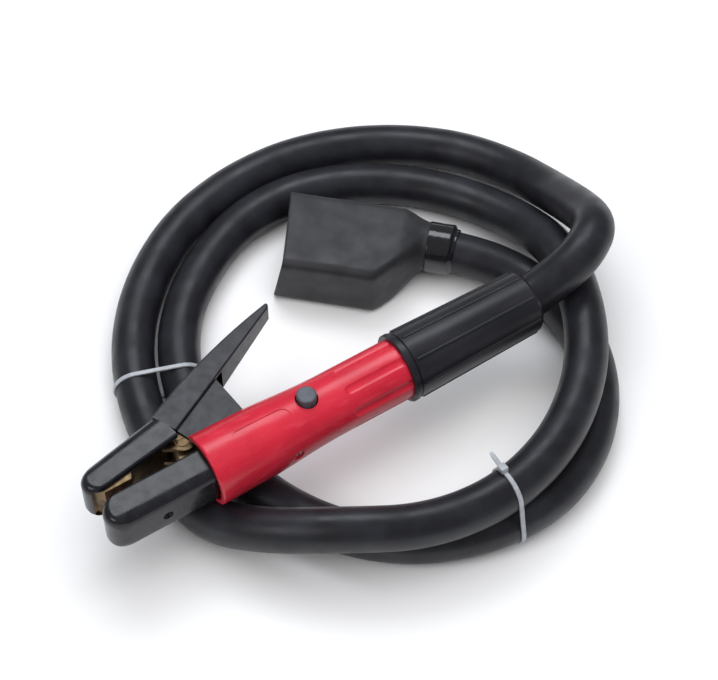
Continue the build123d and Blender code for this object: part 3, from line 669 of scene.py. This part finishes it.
def make_ties(line):
    left = make_tie("tie_left_strap", "tie_left", nearest(line, 49.8, 81.0, -36),
                    nearest(line, 74.8, 72.1, -36),
                    lambda span, r: (span / 2 + r + TIE_THICK + 1.4, 0.0),
                    lambda span, r, u: (span / 2 + r + 1.6 + 2.5 * u * u, -2.0 - 9 * u, 1.0, 0.0))
    right = make_tie("tie_right_strap", "tie_right", nearest(line, 178.5, -100.9, -10.6),
                     nearest(line, 179.9, -106.0, -35.9),
                     lambda span, r: (-span / 2 - r - TIE_THICK - 1.2, 3.0),
                     lambda span, r, u: (-span / 2 - r - 1.6 - 3.0 * u, 5.0 + 9 * u, -1.0, 0.0))
    return left + right


# ---- stage, lights and camera ----
def make_stage():
    bpy.ops.mesh.primitive_plane_add(size=12, location=(0.15, 0.04, TABLE_Z - 0.0002))
    floor = bpy.context.object
    floor.name = "floor"
    paper = Surface("floor_paper", (0.86, 0.86, 0.87), 0.9, specular=0.1)
    floor.data.materials.append(paper.material)


def softbox(name, location, target, size, power, color, glossy=True):
    light = bpy.data.lights.new(name, "AREA")
    light.shape = "RECTANGLE"
    light.size, light.size_y = size
    light.energy = power
    light.color = color
    holder = bpy.data.objects.new(name, light)
    holder.location = location
    holder.visible_glossy = glossy
    direction = Vector(target) - Vector(location)
    holder.rotation_euler = direction.to_track_quat("-Z", "Y").to_euler()
    bpy.context.collection.objects.link(holder)


def make_lights():
    middle = (0.15, 0.03, 0)
    softbox("overhead", (0.45, 0.75, 1.35), middle, (1.1, 0.6), 9, (0.90, 0.94, 1.0))
    softbox("left", (-1.2, -0.1, 1.2), middle, (0.9, 0.5), 5, (1.0, 0.99, 0.97))
    softbox("fill", (0.3, -0.2, 1.9), middle, (2.6, 2.6), 46, (1.0, 1.0, 1.0), glossy=False)
    world = bpy.data.worlds.new("studio")
    bpy.context.scene.world = world
    world.use_nodes = True
    world.node_tree.nodes["Background"].inputs["Color"].default_value = (0.95, 0.97, 1, 1)
    world.node_tree.nodes["Background"].inputs["Strength"].default_value = 0.2


CAMERA_AT = Vector((-0.18916, -0.53149, 0.93298))
AZIMUTH, ELEVATION = radians(-32.5), radians(55)
LENS = 101.8


def make_camera():
    camera = bpy.data.cameras.new("camera")
    camera.lens = LENS
    camera.sensor_width = 36
    camera.sensor_fit = "HORIZONTAL"
    holder = bpy.data.objects.new("camera", camera)
    bpy.context.collection.objects.link(holder)
    back = Vector((sin(AZIMUTH) * cos(ELEVATION), -cos(AZIMUTH) * cos(ELEVATION), sin(ELEVATION)))
    right = Vector((cos(AZIMUTH), sin(AZIMUTH), 0))
    up = back.cross(right)
    turn = Matrix((right, up, back)).transposed()
    holder.matrix_world = Matrix.Translation(CAMERA_AT) @ turn.to_4x4()
    bpy.context.scene.camera = holder
    bpy.context.scene.view_settings.view_transform = "Standard"


# ---- assembly ----
dress_nodes()
cable = make_cable()
line = cable_line(cable)
make_jaw("lower_jaw_skin", "lower_jaw_insulator", LOWER_JAW, LOWER_ROOM, TORCH)
make_jaw("upper_jaw_skin", "upper_jaw_insulator", UPPER_JAW, UPPER_ROOM, "jaw")
boot = make_boot()
tape = make_tape()
ties = make_ties(line)
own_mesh(frame["nodes"]["jaw_spring"])
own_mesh(frame["nodes"]["valve_spring"])
make_stage()
make_lights()
make_camera()
